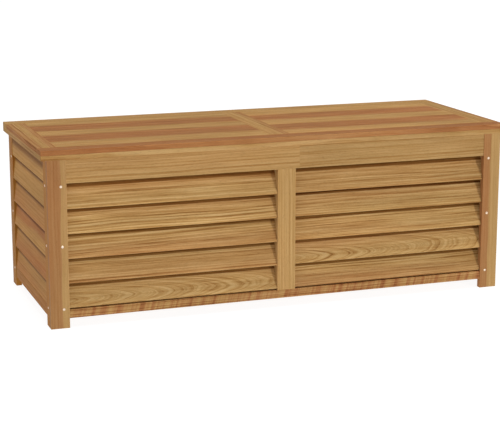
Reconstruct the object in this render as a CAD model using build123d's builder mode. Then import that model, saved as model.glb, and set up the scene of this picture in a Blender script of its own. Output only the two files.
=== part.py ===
"""Louvred wooden deck storage box with a hinged lid on two gas struts.

Millimetres, +Z up.  The front faces -Y.  The origin is the centre of the whole
object's footprint, on the ground that the posts stand on.
"""
import os
from math import asin, cos, degrees, hypot, radians, sin, tan

from build123d import *

os.makedirs("parts", exist_ok=True)

# ---------------------------------------------------------------- driving sizes
BODY_W = 1500.0          # across the posts
BODY_D = 592.0           # over the posts, front to back
BODY_H = 515.0           # ground to the top of the posts
BOARD_T = 18.0           # boards of the corner posts

POST_FACE_W = 58.0       # post board seen from the front or the back
POST_SIDE_D = 54.0       # post depth seen from the side
BLOCK_INNER = 52.0       # corner block reaches this far in from the outer faces
BLOCK_TOP_GAP = 3.0      # corner block stops this far below the lid
HOUSING = 2.0            # rails and louvres are let this far into the blocks

RAIL_SETBACK = 2.0       # front and back rails and stiles, behind the post faces
SIDE_SETBACK = 1.0       # side rails and the louvres' lower edges, behind the post faces
TOP_RAIL_H = 71.7
RAIL_BACK = 30.0         # back face of the top and side rails, from the outer face
GROUND_GAP = 29.5        # rails clear the ground by this much
SILL_H = 26.5            # front and back bottom rails
SILL_BACK = 42.0
SIDE_SILL_H = 36.0       # left and right bottom rails

STILE_W = 59.0
STILE_X = 6.5            # centre stiles stand this far right of the middle
STILE_BACK = 50.0
STILE_HOUSING = 6.0      # louvre ends are let this far into the stiles

LOUVRE_COUNT = 5         # in each bay, and in each side
LOUVRE_PITCH = 76.44
LOUVRE_W = 84.0
LOUVRE_T = 12.0
LOUVRE_TILT = 23.5       # degrees from upright, lower edge outwards
LOUVRE_SETBACK = 5.0     # lower edge behind the post faces
SIDE_TILT = 7.0          # the sides' louvres are wedge boards, lapped by rebates
SIDE_LAP = 6.0           # tongue of each, up behind the next
SIDE_LAP_CLEAR = 0.3

FLOOR_SLATS = 5
FLOOR_SLAT_GAP = 8.0
FLOOR_SLAT_T = 12.0
FLOOR_MARGIN = 54.0      # floor slats stop this far inside the outer faces
BEARER_W = 40.0
BEARER_CENTRES = (-668.0, -223.0, 223.0, 668.0)

LID_END_OVERHANG = 17.0
LID_TOP_T = 15.0         # upper layer: frame and slats
LID_SUB_T = 15.0         # lower layer: sub-frame
LID_RAIL_W = 58.0
LID_END_RAIL_W = 60.0
LID_MULLION_W = 66.0
LID_MULLION_X = 4.0      # centre of the mullion, right of the middle
LID_SLATS = 5            # in each bay
LID_SLAT_GAP = 1.5
SUB_RAIL_W = 70.0
SUB_END_W = 100.0
SUB_CENTRE_W = 80.0

SCREW_ROWS = (435.0, 252.0, 59.0)   # heights of the post screws
FACE_SCREW_IN = 41.0     # from the corner, on front and back faces
SIDE_SCREW_IN = 35.0     # from the corner, on side faces
SCREW_LEN = 35.0
SCREW_R = 2.0
SCREW_HEAD_R = 4.0
SCREW_HEAD_H = 2.3
SCREW_HEAD_PROUD = 0.8
SCREW_SOCKET_R = 1.7
SCREW_SOCKET_DEPTH = 1.1
PILOT_CLEAR = 0.05       # screw holes in wood are this much wider in radius
PLATE_CLEAR = 0.1        # and holes in metal plates
HEAD_CLEAR = 0.2         # and counterbores round the screws' heads

HINGE_CENTRES = (-500.0, 0.0, 500.0)
HINGE_LEN = 64.0
HINGE_LEAF_T = 2.0
HINGE_LEAF_REACH = 26.0  # from the pin's axis to the leaf's far edge
KNUCKLE_R = 4.5
KNUCKLES = 5
KNUCKLE_GAP = 0.3
KNUCKLE_CLEAR = 0.8      # leaves and wood stay this far from the other knuckles
PIN_R = 2.0
PIN_BORE_R = 2.06
PIN_HEAD_R = 3.2
PIN_HEAD_T = 1.4
LEAF_SCREW_PITCH = 22.0
LEAF_SCREW_FROM_PIN = 17.5
LEAF_SCREW_HEAD_R = 3.4
LEAF_SCREW_R = 1.7
LEAF_SCREW_LEN = 16.0

BATTEN_W = 36.0          # upright battens inside the side walls
BATTEN_BACK = 66.0       # their inner faces, from the outer face

STRUT_X = 674.0          # struts' plane, from the middle
STRUT_ARM = 272.0        # from the lid's pin axis to each of the strut's studs
STRUT_LID_DROP = 14.0    # lid stud below the lid's underside
STRUT_BASE_ANGLE = 17.0  # degrees, box stud in front of straight below the pin
TUBE_R = 7.5
TUBE_BORE_R = 6.5
ROD_R = 3.0
ROD_BORE_R = 3.1
PISTON_R = 6.3
PISTON_T = 6.0
TUBE_START = 12.0        # tube body begins this far from its stud
TUBE_WALL_END = 6.0
TUBE_LEN_TO_GLAND = 292.0
GLAND_T = 10.0
ROD_REACH = 288.0        # from the rod's stud to the piston's face
NECK_R = 4.5             # between the tube and its eye
EYE_R = 6.5
EYE_W = 10.0
STUD_R = 3.0
STUD_BORE_R = 3.1
STUD_COLLAR_R = 4.8      # between the bracket and the strut's eye
STUD_HEAD_R = 4.2
STUD_HEAD_T = 2.0
STUD_END_PLAY = 0.5
BRACKET_T = 2.5
TAB_OUT = 10.0           # lid bracket's tab stands this far outside the strut's plane
TAB_W = 20.0
TAB_BELOW = 9.0          # tab reaches this far below its stud
FOOT_LEN = 40.0
FOOT_W = 20.0
FOOT_SCREW_PITCH = 24.0
BOX_PLATE_W = 24.0
BOX_PLATE_H = 50.0
BOX_PLATE_SCREW_PITCH = 34.0
BRACKET_SCREW_R = 1.7
BRACKET_SCREW_HEAD_R = 3.3
BRACKET_SCREW_HEAD_H = 1.6
BRACKET_SCREW_LEN = 12.0

# ------------------------------------------------------------ places worked out
HINGE_OUT = 2 * KNUCKLE_R - RAIL_SETBACK            # knuckles stand out this far
Y_FRONT = -(BODY_D + HINGE_OUT + SCREW_HEAD_PROUD) / 2 + SCREW_HEAD_PROUD
Y_BACK = Y_FRONT + BODY_D
Y_MID = (Y_FRONT + Y_BACK) / 2
X_OUT = BODY_W / 2
X_LID = X_OUT + LID_END_OVERHANG
LID_UNDER = BODY_H
LID_MIDDLE = BODY_H + LID_SUB_T
LID_TOP = LID_MIDDLE + LID_TOP_T
TOP_RAIL_Z = BODY_H - TOP_RAIL_H
SILL_TOP = GROUND_GAP + SILL_H
SIDE_SILL_TOP = GROUND_GAP + SIDE_SILL_H
END_IN = BLOCK_INNER - HOUSING                      # wall pieces end here
PIVOT = Vector(0, Y_BACK - RAIL_SETBACK + KNUCKLE_R, LID_UNDER)

# Each wall: the middle of its outer face at the ground, the direction inwards,
# the direction along it, and half its length.
WALLS = {
    "front": (Vector(0, Y_FRONT, 0), Vector(0, 1, 0), Vector(1, 0, 0), X_OUT),
    "back": (Vector(0, Y_BACK, 0), Vector(0, -1, 0), Vector(-1, 0, 0), X_OUT),
    "left": (Vector(-X_OUT, Y_MID, 0), Vector(1, 0, 0), Vector(0, -1, 0), BODY_D / 2),
    "right": (Vector(X_OUT, Y_MID, 0), Vector(-1, 0, 0), Vector(0, 1, 0), BODY_D / 2),
}
LONG_WALLS = ("front", "back")
SIDES = {"left": -1, "right": 1}


def save(piece, name):
    """Label a finished piece and write its STEP file."""
    piece.part.label = name
    export_step(piece.part, f"parts/{name}.step")


def across(wall, s):
    """Plane across a wall, s along it: local x runs inwards and local y runs up."""
    face, inwards, along, _ = WALLS[wall]
    return Plane(origin=face + along * s, x_dir=inwards, z_dir=along)


def span(low, high, mode=Mode.ADD):
    """Add or cut the box between two corners, in the part being built."""
    size = [b - a for a, b in zip(low, high)]
    middle = [(a + b) / 2 for a, b in zip(low, high)]
    with Locations(tuple(middle)):
        Box(*size, mode=mode)


# -------------------------------------------------------------- wall cross-sections
def louvre_section(z_low):
    """Corners of a tilted louvre board of the front or the back."""
    tilt = radians(LOUVRE_TILT)
    rise = (sin(tilt), cos(tilt))
    through = (cos(tilt), -sin(tilt))
    front_low = (LOUVRE_SETBACK, z_low)
    front_top = (front_low[0] + LOUVRE_W * rise[0], front_low[1] + LOUVRE_W * rise[1])
    back_top = (front_top[0] + LOUVRE_T * through[0], front_top[1] + LOUVRE_T * through[1])
    back_low = (front_low[0] + LOUVRE_T * through[0], front_low[1] + LOUVRE_T * through[1])
    return [front_low, front_top, back_top, back_low]


def side_louvre_section(z_low, top, bottom):
    """Corners of a side's wedge board: plain at the top one's top and on the sill."""
    slope = tan(radians(SIDE_TILT))
    z_high = z_low + LOUVRE_PITCH
    step = SIDE_SETBACK + LOUVRE_PITCH * slope
    if bottom:
        foot = [(RAIL_BACK, SIDE_SILL_TOP)]
        toe = (SIDE_SETBACK + (SIDE_SILL_TOP - z_low) * slope, SIDE_SILL_TOP)
    else:
        notch = step - SIDE_LAP_CLEAR
        ceiling = z_low + SIDE_LAP + SIDE_LAP_CLEAR
        foot = [(RAIL_BACK, ceiling), (notch, ceiling), (notch, z_low)]
        toe = (SIDE_SETBACK, z_low)
    if top:
        head = [(step, z_high), (RAIL_BACK, z_high)]
    else:
        head = [(step, z_high), (step, z_high + SIDE_LAP), (RAIL_BACK, z_high + SIDE_LAP)]
    return [toe] + head + foot


def louvre_sections(wall):
    """The bay's louvres, from the top one down."""
    lows = [TOP_RAIL_Z - LOUVRE_PITCH * (i + 1) for i in range(LOUVRE_COUNT)]
    if wall in LONG_WALLS:
        return [louvre_section(z) for z in lows]
    return [side_louvre_section(z, z == lows[0], z == lows[-1]) for z in lows]


def rectangle_section(u_low, u_high, z_low, z_high):
    return [(u_low, z_low), (u_high, z_low), (u_high, z_high), (u_low, z_high)]


def setback(wall):
    """How far a wall's rails lie behind the post faces."""
    return RAIL_SETBACK if wall in LONG_WALLS else SIDE_SETBACK


def top_rail_section(u_low):
    return rectangle_section(u_low, RAIL_BACK, TOP_RAIL_Z, BODY_H)


def sill_section(wall, u_low):
    if wall in LONG_WALLS:
        return rectangle_section(u_low, SILL_BACK, GROUND_GAP, SILL_TOP)
    return rectangle_section(u_low, RAIL_BACK, GROUND_GAP, SIDE_SILL_TOP)


def housed_sections(wall):
    """Cross-sections of a wall that the corner blocks are housed for."""
    if wall in LONG_WALLS:
        rails = [top_rail_section(RAIL_SETBACK), sill_section(wall, RAIL_SETBACK)]
        return louvre_sections(wall) + rails
    return [rectangle_section(SIDE_SETBACK, RAIL_BACK, GROUND_GAP, BODY_H)]


def post_width(wall):
    """How much of the wall's length each corner post covers."""
    return POST_FACE_W if wall in LONG_WALLS else POST_SIDE_D


# ------------------------------------------------------------------ the four posts
def post_boards():
    """Each corner post is two boards in an L, screwed to a block inside it."""
    for wall in LONG_WALLS:
        outwards = -1 if wall == "front" else 1
        y_face = Y_FRONT if wall == "front" else Y_BACK
        for side, sign in SIDES.items():
            with BuildPart() as face_board:
                x_edges = sorted((sign * X_OUT, sign * (X_OUT - POST_FACE_W)))
                y_edges = sorted((y_face, y_face - outwards * BOARD_T))
                span((x_edges[0], y_edges[0], 0), (x_edges[1], y_edges[1], BODY_H))
                x_screw = sign * (X_OUT - FACE_SCREW_IN)
                for z in SCREW_ROWS:
                    with Locations(Plane((x_screw, y_face, z), z_dir=(0, outwards, 0))):
                        screw_hole(BOARD_T)
            save(face_board, f"{wall}_{side}_post_face")

            with BuildPart() as side_board:
                x_edges = sorted((sign * X_OUT, sign * (X_OUT - BOARD_T)))
                y_edges = sorted((y_face - outwards * BOARD_T, y_face - outwards * POST_SIDE_D))
                span((x_edges[0], y_edges[0], 0), (x_edges[1], y_edges[1], BODY_H))
                y_screw = y_face - outwards * SIDE_SCREW_IN
                for z in SCREW_ROWS:
                    with Locations(Plane((sign * X_OUT, y_screw, z), z_dir=(sign, 0, 0))):
                        screw_hole(BOARD_T)
            save(side_board, f"{wall}_{side}_post_side")


def screw_hole(depth):
    """Through hole with a counterbore that the screw's head sits in."""
    CounterBoreHole(
        radius=SCREW_R + PILOT_CLEAR,
        counter_bore_radius=SCREW_HEAD_R + HEAD_CLEAR,
        counter_bore_depth=SCREW_HEAD_H - SCREW_HEAD_PROUD,
        depth=depth,
    )


def bracket_pilot_hole():
    """Hole in wood for a bracket's screw."""
    Hole(radius=BRACKET_SCREW_R + PILOT_CLEAR, depth=BRACKET_SCREW_LEN - BRACKET_T)


def post_screw_planes():
    """A plane at each post screw, on the post's face and looking outwards."""
    planes = []
    for z in SCREW_ROWS:
        for sign in SIDES.values():
            for y_face, outwards in ((Y_FRONT, -1), (Y_BACK, 1)):
                x_screw = sign * (X_OUT - FACE_SCREW_IN)
                y_screw = y_face - outwards * SIDE_SCREW_IN
                planes.append(Plane((x_screw, y_face, z), z_dir=(0, outwards, 0)))
                planes.append(Plane((sign * X_OUT, y_screw, z), z_dir=(sign, 0, 0)))
    return planes


def corner_blocks():
    """Square blocks inside the posts, housed for the rails and louvres."""
    with BuildPart() as blocks:
        top = BODY_H - BLOCK_TOP_GAP
        for sign in SIDES.values():
            x_edges = sorted((sign * (X_OUT - BOARD_T), sign * (X_OUT - BLOCK_INNER)))
            for y_edges in (
                (Y_FRONT + BOARD_T, Y_FRONT + BLOCK_INNER),
                (Y_BACK - BLOCK_INNER, Y_BACK - BOARD_T),
            ):
                span((x_edges[0], y_edges[0], GROUND_GAP), (x_edges[1], y_edges[1], top))
        for wall, (_, _, _, half) in WALLS.items():
            reach = half - END_IN
            for start in (-reach, reach - 2 * HOUSING):
                for corners in housed_sections(wall):
                    with BuildSketch(across(wall, start)):
                        with BuildLine():
                            Polyline(*corners, close=True)
                        make_face()
                    extrude(amount=2 * HOUSING, mode=Mode.SUBTRACT)
        for plane in post_screw_planes():
            with Locations(plane.offset(-BOARD_T)):
                Hole(radius=SCREW_R + PILOT_CLEAR, depth=SCREW_LEN - BOARD_T)
    save(blocks, "corner_blocks")


def post_screws():
    """The dome-headed screws of all four posts."""
    with BuildPart() as screws:
        for plane in post_screw_planes():
            with BuildSketch(plane.offset(SCREW_HEAD_PROUD - SCREW_LEN)):
                Circle(SCREW_R)
            extrude(amount=SCREW_LEN - SCREW_HEAD_H)
            with BuildSketch(plane.offset(SCREW_HEAD_PROUD - SCREW_HEAD_H)) as rim:
                Circle(SCREW_HEAD_R)
            extrude(amount=SCREW_HEAD_H / 2)
            extrude(
                offset(rim.sketch, amount=-SCREW_HEAD_R / 8, mode=Mode.PRIVATE),
                amount=SCREW_HEAD_H,
            )
            with BuildSketch(plane.offset(SCREW_HEAD_PROUD)):
                RegularPolygon(radius=SCREW_SOCKET_R, side_count=6)
            extrude(amount=-SCREW_SOCKET_DEPTH, mode=Mode.SUBTRACT)
    save(screws, "post_screws")


# --------------------------------------------------------------- rails and stiles
def rail(wall, full, lapped, name, pockets=()):
    """A rail between two posts, with its back lapped behind the post boards."""
    _, _, _, half = WALLS[wall]
    clear = half - post_width(wall)
    reach = half - END_IN
    with BuildPart() as piece:
        for corners, end in ((full, clear), (lapped, reach)):
            with BuildSketch(across(wall, -end)):
                with BuildLine():
                    Polyline(*corners, close=True)
                make_face()
            extrude(amount=2 * end)
        for centre in pockets:
            knuckle_relief(centre)
            for plane in leaf_screw_planes(centre, -1):
                with Locations(plane.offset(-HINGE_LEAF_T)):
                    Hole(radius=LEAF_SCREW_R + PILOT_CLEAR, depth=LEAF_SCREW_LEN - HINGE_LEAF_T)
    save(piece, name)


def rails():
    for wall in WALLS:
        hinges = HINGE_CENTRES if wall == "back" else ()
        full, lapped = top_rail_section(setback(wall)), top_rail_section(BOARD_T)
        rail(wall, full, lapped, f"{wall}_top_rail", hinges)
        full, lapped = sill_section(wall, setback(wall)), sill_section(wall, BOARD_T)
        rail(wall, full, lapped, f"{wall}_bottom_rail")


def stile_centre(wall):
    """Where a centre stile stands along its wall."""
    return STILE_X * WALLS[wall][2].X


def stiles():
    """Centre stiles of the front and the back, housed for the louvre ends."""
    for wall in LONG_WALLS:
        left = stile_centre(wall) - STILE_W / 2
        with BuildPart() as stile:
            with BuildSketch(across(wall, left)):
                with BuildLine():
                    outline = rectangle_section(RAIL_SETBACK, STILE_BACK, SILL_TOP, TOP_RAIL_Z)
                    Polyline(*outline, close=True)
                make_face()
            extrude(amount=STILE_W)
            for start in (left, left + STILE_W - STILE_HOUSING):
                for corners in louvre_sections(wall):
                    with BuildSketch(across(wall, start)):
                        with BuildLine():
                            Polyline(*corners, close=True)
                        make_face()
                    extrude(amount=STILE_HOUSING, mode=Mode.SUBTRACT)
        save(stile, f"{wall}_centre_stile")


def side_battens():
    """Upright battens inside the side walls, that the louvres are nailed to."""
    low, high = SILL_TOP + FLOOR_SLAT_T, BODY_H - BLOCK_TOP_GAP
    with BuildPart() as battens:
        for wall, sign in SIDES.items():
            start = sign * (BOX_STUD.Y - Y_MID) - BATTEN_W / 2
            with BuildSketch(across(wall, start)):
                with BuildLine():
                    Polyline(*rectangle_section(RAIL_BACK, BATTEN_BACK, low, high), close=True)
                make_face()
            extrude(amount=BATTEN_W)
            for plane in box_bracket_screw_planes(sign):
                with Locations(plane.offset(-BRACKET_T)):
                    bracket_pilot_hole()
    save(battens, "side_battens")


# ------------------------------------------------------------------------- louvres
def louvre_run(wall, sections, start, end, name):
    """Louvres from start to end along a wall, notched to pass behind the posts."""
    _, _, _, half = WALLS[wall]
    with BuildPart() as louvres:
        for corners in sections:
            with BuildSketch(across(wall, start)):
                with BuildLine():
                    Polyline(*corners, close=True)
                make_face()
            extrude(amount=end - start)
        post_edge = half - post_width(wall)
        for edge in (-half, post_edge):
            with BuildSketch(across(wall, edge)):
                with BuildLine():
                    Polyline(*rectangle_section(0, BOARD_T, 0, BODY_H), close=True)
                make_face()
            extrude(amount=post_width(wall), mode=Mode.SUBTRACT)
    save(louvres, name)


def louvres():
    for wall, (_, _, along, half) in WALLS.items():
        sections = louvre_sections(wall)
        reach = half - END_IN
        if wall not in LONG_WALLS:
            louvre_run(wall, sections, -reach, reach, f"{wall}_louvres")
            continue
        inner = STILE_W / 2 - STILE_HOUSING
        centre = stile_centre(wall)
        for start, end in ((-reach, centre - inner), (centre + inner, reach)):
            side = "right" if (start + end) * along.X > 0 else "left"
            if wall == "back":
                louvre_run(wall, sections, start, end, f"back_{side}_louvres")
                continue
            for number, section in enumerate(sections, start=1):
                louvre_run(wall, [section], start, end, f"front_{side}_louvre_{number}")


# --------------------------------------------------------------------------- floor
def floor():
    """Lengthwise slats on cross bearers, level with the bottom rails."""
    y_low, y_high = Y_FRONT + FLOOR_MARGIN, Y_BACK - FLOOR_MARGIN
    slat_w = (y_high - y_low - (FLOOR_SLATS - 1) * FLOOR_SLAT_GAP) / FLOOR_SLATS
    x_end = X_OUT - FLOOR_MARGIN
    with BuildPart() as slats:
        for i in range(FLOOR_SLATS):
            y = y_low + i * (slat_w + FLOOR_SLAT_GAP)
            span((-x_end, y, SILL_TOP), (x_end, y + slat_w, SILL_TOP + FLOOR_SLAT_T))
    save(slats, "floor_slats")

    with BuildPart() as bearers:
        for x in BEARER_CENTRES:
            span(
                (x - BEARER_W / 2, Y_FRONT + SILL_BACK, GROUND_GAP),
                (x + BEARER_W / 2, Y_BACK - SILL_BACK, SILL_TOP),
            )
    save(bearers, "floor_bearers")


# ----------------------------------------------------------------------------- lid
def lid_back_board(name, y_low, z_low, z_high):
    """A full-length lid board along the back edge, let in for the hinges."""
    with BuildPart() as board:
        span((-X_LID, y_low, z_low), (X_LID, Y_BACK, z_high))
        for centre in HINGE_CENTRES:
            half = HINGE_LEN / 2 + KNUCKLE_GAP
            span(
                (centre - half, Y_BACK - RAIL_SETBACK, LID_UNDER),
                (centre + half, Y_BACK, LID_UNDER + HINGE_LEAF_REACH),
                mode=Mode.SUBTRACT,
            )
            knuckle_relief(centre)
            for plane in leaf_screw_planes(centre, 1):
                with Locations(plane.offset(-HINGE_LEAF_T)):
                    Hole(radius=LEAF_SCREW_R + PILOT_CLEAR, depth=LEAF_SCREW_LEN - HINGE_LEAF_T)
    save(board, name)


def lid_board(name, low, high):
    with BuildPart() as board:
        span(low, high)
    save(board, name)


def lid_top():
    """Upper layer: a frame of rails round two bays of lengthwise slats."""
    y_front, y_back = Y_FRONT + LID_RAIL_W, Y_BACK - LID_RAIL_W
    lid_board("lid_front_rail", (-X_LID, Y_FRONT, LID_MIDDLE), (X_LID, y_front, LID_TOP))
    lid_back_board("lid_back_rail", y_back, LID_MIDDLE, LID_TOP)
    for side, sign in SIDES.items():
        x_low, x_high = sorted((sign * X_LID, sign * (X_LID - LID_END_RAIL_W)))
        lid_board(f"lid_{side}_end_rail", (x_low, y_front, LID_MIDDLE), (x_high, y_back, LID_TOP))
    mullion = {side: LID_MULLION_X + sign * LID_MULLION_W / 2 for side, sign in SIDES.items()}
    low, high = (mullion["left"], y_front, LID_MIDDLE), (mullion["right"], y_back, LID_TOP)
    lid_board("lid_mullion", low, high)

    slat_w = (y_back - y_front - (LID_SLATS - 1) * LID_SLAT_GAP) / LID_SLATS
    for side, sign in SIDES.items():
        x_low, x_high = sorted((mullion[side], sign * (X_LID - LID_END_RAIL_W)))
        with BuildPart() as slats:
            for i in range(LID_SLATS):
                y = y_front + i * (slat_w + LID_SLAT_GAP)
                span((x_low, y, LID_MIDDLE), (x_high, y + slat_w, LID_TOP))
        save(slats, f"lid_{side}_slats")


def lid_sub_frame():
    """Lower layer: the boards that the upper layer is fixed down to."""
    y_front, y_back = Y_FRONT + SUB_RAIL_W, Y_BACK - SUB_RAIL_W
    lid_board("lid_sub_front", (-X_LID, Y_FRONT, LID_UNDER), (X_LID, y_front, LID_MIDDLE))
    lid_back_board("lid_sub_back", y_back, LID_UNDER, LID_MIDDLE)
    half = SUB_CENTRE_W / 2
    lid_board("lid_sub_centre", (-half, y_front, LID_UNDER), (half, y_back, LID_MIDDLE))
    for side, sign in SIDES.items():
        x_low, x_high = sorted((sign * X_LID, sign * (X_LID - SUB_END_W)))
        with BuildPart() as board:
            span((x_low, y_front, LID_UNDER), (x_high, y_back, LID_MIDDLE))
            for plane in lid_bracket_screw_planes(sign):
                with Locations(plane.offset(-BRACKET_T)):
                    bracket_pilot_hole()
        save(board, f"lid_sub_{side}")


# -------------------------------------------------------------------------- hinges
def hinge_plane(x):
    """Plane across the hinge pin: local x runs backwards and local y runs up."""
    return Plane(origin=(x, PIVOT.Y, PIVOT.Z), x_dir=(0, 1, 0), z_dir=(1, 0, 0))


def knuckle_relief(centre):
    """Cut the groove that lets the other leaf's knuckles and the pin's heads turn."""
    length = HINGE_LEN + 2 * (PIN_HEAD_T + KNUCKLE_GAP)
    with Locations(hinge_plane(centre)):
        Cylinder(KNUCKLE_R + KNUCKLE_CLEAR, length, mode=Mode.SUBTRACT)


def leaf_screw_planes(centre, up):
    """Planes on the outer face of a leaf, one at each of its screws."""
    y = PIVOT.Y - KNUCKLE_R + HINGE_LEAF_T
    z = PIVOT.Z + up * LEAF_SCREW_FROM_PIN
    return [
        Plane((centre + i * LEAF_SCREW_PITCH, y, z), z_dir=(0, 1, 0))
        for i in (-1, 0, 1)
    ]


def hinge_leaves(name, up, own_knuckles):
    """One leaf of each hinge; up is +1 for the lid's leaf and -1 for the box's."""
    pitch = (HINGE_LEN + KNUCKLE_GAP) / KNUCKLES
    inner, outer = -KNUCKLE_R, -KNUCKLE_R + HINGE_LEAF_T
    plate_start = KNUCKLE_R + KNUCKLE_CLEAR
    with BuildPart() as leaves:
        for centre in HINGE_CENTRES:
            end = centre - HINGE_LEN / 2
            with BuildSketch(hinge_plane(end)):
                with BuildLine():
                    plate = rectangle_section(inner, outer, up * plate_start, up * HINGE_LEAF_REACH)
                    Polyline(*plate, close=True)
                make_face()
            extrude(amount=HINGE_LEN)
            for i in own_knuckles:
                with BuildSketch(hinge_plane(end + i * pitch)):
                    with BuildLine():
                        Polyline(*rectangle_section(inner, outer, 0, up * plate_start), close=True)
                    make_face()
                    Circle(KNUCKLE_R)
                    Circle(PIN_BORE_R, mode=Mode.SUBTRACT)
                extrude(amount=pitch - KNUCKLE_GAP)
            for plane in leaf_screw_planes(centre, up):
                with Locations(plane):
                    CounterSinkHole(
                        radius=LEAF_SCREW_R + PLATE_CLEAR,
                        counter_sink_radius=LEAF_SCREW_HEAD_R + PLATE_CLEAR,
                        depth=HINGE_LEAF_T,
                    )
    save(leaves, name)


def hinge_pins():
    with BuildPart() as pins:
        for centre in HINGE_CENTRES:
            for start, radius, length in (
                (-HINGE_LEN / 2, PIN_R, HINGE_LEN),
                (-HINGE_LEN / 2 - PIN_HEAD_T, PIN_HEAD_R, PIN_HEAD_T),
                (HINGE_LEN / 2, PIN_HEAD_R, PIN_HEAD_T),
            ):
                with BuildSketch(hinge_plane(centre + start)):
                    Circle(radius)
                extrude(amount=length)
    save(pins, "hinge_pins")


def countersunk_screw(plane):
    """Flat-headed screw whose head fills the countersink at the plane."""
    with BuildPart(mode=Mode.PRIVATE) as screw:
        with BuildSketch(Plane.XZ):
            with BuildLine():
                Polyline(
                    (0, 0),
                    (LEAF_SCREW_HEAD_R, 0),
                    (LEAF_SCREW_R, LEAF_SCREW_R - LEAF_SCREW_HEAD_R),
                    (LEAF_SCREW_R, -LEAF_SCREW_LEN),
                    (0, -LEAF_SCREW_LEN),
                    close=True,
                )
            make_face()
        revolve(axis=Axis.Z)
    return plane.location * screw.part


def pan_screw(plane):
    """Low round-headed screw through a bracket; the plane is the bracket's face."""
    with BuildPart(mode=Mode.PRIVATE) as screw:
        with BuildSketch(Plane.XY.offset(-BRACKET_SCREW_LEN)):
            Circle(BRACKET_SCREW_R)
        extrude(amount=BRACKET_SCREW_LEN)
        with BuildSketch(Plane.XY):
            Circle(BRACKET_SCREW_HEAD_R)
        extrude(amount=BRACKET_SCREW_HEAD_H)
    return plane.location * screw.part


# --------------------------------------------------------------------- gas struts
LID_STUD_ANGLE = degrees(asin(STRUT_LID_DROP / STRUT_ARM))
LID_STUD = PIVOT + Vector(
    0, -STRUT_ARM * cos(radians(LID_STUD_ANGLE)), -STRUT_LID_DROP
)
BOX_STUD = PIVOT + Vector(
    0,
    -STRUT_ARM * sin(radians(STRUT_BASE_ANGLE)),
    -STRUT_ARM * cos(radians(STRUT_BASE_ANGLE)),
)
STRUT_LINE = BOX_STUD - LID_STUD                    # from the lid stud to the box stud
LID_TAB_X = STRUT_X + TAB_OUT                       # face of the lid bracket's tab
BOX_PLATE_X = X_OUT - BATTEN_BACK                   # wood face behind the box bracket


def strut_plane(sign, stud, towards, distance):
    """Plane across a strut, a distance from one of its studs along its line."""
    line = towards.normalized()
    origin = Vector(sign * STRUT_X, stud.Y, stud.Z) + line * distance
    return Plane(origin=origin, x_dir=(1, 0, 0), z_dir=line)


def strut_eye(sign, stud):
    """Eye plane on the strut's middle plane, looking along the stud."""
    return Plane(origin=(sign * STRUT_X - EYE_W / 2, stud.Y, stud.Z), z_dir=(1, 0, 0))


def strut_tube(side, sign):
    """Pressure tube with the eye that turns on the lid's stud."""
    with BuildPart() as tube:
        with BuildSketch(strut_eye(sign, LID_STUD)):
            Circle(EYE_R)
        extrude(amount=EYE_W)
        with BuildSketch(strut_plane(sign, LID_STUD, STRUT_LINE, 0)):
            Circle(NECK_R)
        extrude(amount=TUBE_START)
        with BuildSketch(strut_plane(sign, LID_STUD, STRUT_LINE, TUBE_START)):
            Circle(TUBE_R)
        extrude(amount=TUBE_LEN_TO_GLAND - TUBE_START)
        bore_start = TUBE_START + TUBE_WALL_END
        with BuildSketch(strut_plane(sign, LID_STUD, STRUT_LINE, bore_start)):
            Circle(TUBE_BORE_R)
        extrude(amount=TUBE_LEN_TO_GLAND - GLAND_T - bore_start, mode=Mode.SUBTRACT)
        with BuildSketch(strut_plane(sign, LID_STUD, STRUT_LINE, bore_start)):
            Circle(ROD_BORE_R)
        extrude(amount=TUBE_LEN_TO_GLAND - bore_start, mode=Mode.SUBTRACT)
        with BuildSketch(strut_eye(sign, LID_STUD)):
            Circle(STUD_BORE_R)
        extrude(amount=EYE_W, mode=Mode.SUBTRACT)
    save(tube, f"{side}_strut_tube")


def strut_rod(side, sign):
    """Piston rod with the eye that turns on the box's stud."""
    up_line = STRUT_LINE * -1
    with BuildPart() as rod:
        with BuildSketch(strut_eye(sign, BOX_STUD)):
            Circle(EYE_R)
        extrude(amount=EYE_W)
        with BuildSketch(strut_plane(sign, BOX_STUD, up_line, 0)):
            Circle(ROD_R)
        extrude(amount=ROD_REACH - PISTON_T / 2)
        with BuildSketch(strut_plane(sign, BOX_STUD, up_line, ROD_REACH - PISTON_T)):
            Circle(PISTON_R)
        extrude(amount=PISTON_T)
        with BuildSketch(strut_eye(sign, BOX_STUD)):
            Circle(STUD_BORE_R)
        extrude(amount=EYE_W, mode=Mode.SUBTRACT)
    save(rod, f"{side}_strut_rod")


def stud(sign, centre, base_x):
    """Stud from a bracket's face through a strut's eye, with a retaining head."""
    tip = STRUT_X - EYE_W / 2
    head = tip - STUD_END_PLAY
    for near, far, radius in (
        (base_x, head, STUD_R),
        (base_x, STRUT_X + EYE_W / 2 + STUD_END_PLAY, STUD_COLLAR_R),
        (head, head - STUD_HEAD_T, STUD_HEAD_R),
    ):
        with Locations(Location((sign * (near + far) / 2, centre.Y, centre.Z), (0, 90, 0))):
            Cylinder(radius, near - far)


def lid_bracket_screw_planes(sign):
    """Planes under the lid bracket's foot, one at each of its screws."""
    x = sign * (LID_TAB_X + (BRACKET_T + FOOT_W) / 2)
    return [
        Plane((x, LID_STUD.Y + dy, LID_UNDER - BRACKET_T), z_dir=(0, 0, -1))
        for dy in (-FOOT_SCREW_PITCH / 2, FOOT_SCREW_PITCH / 2)
    ]


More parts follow.
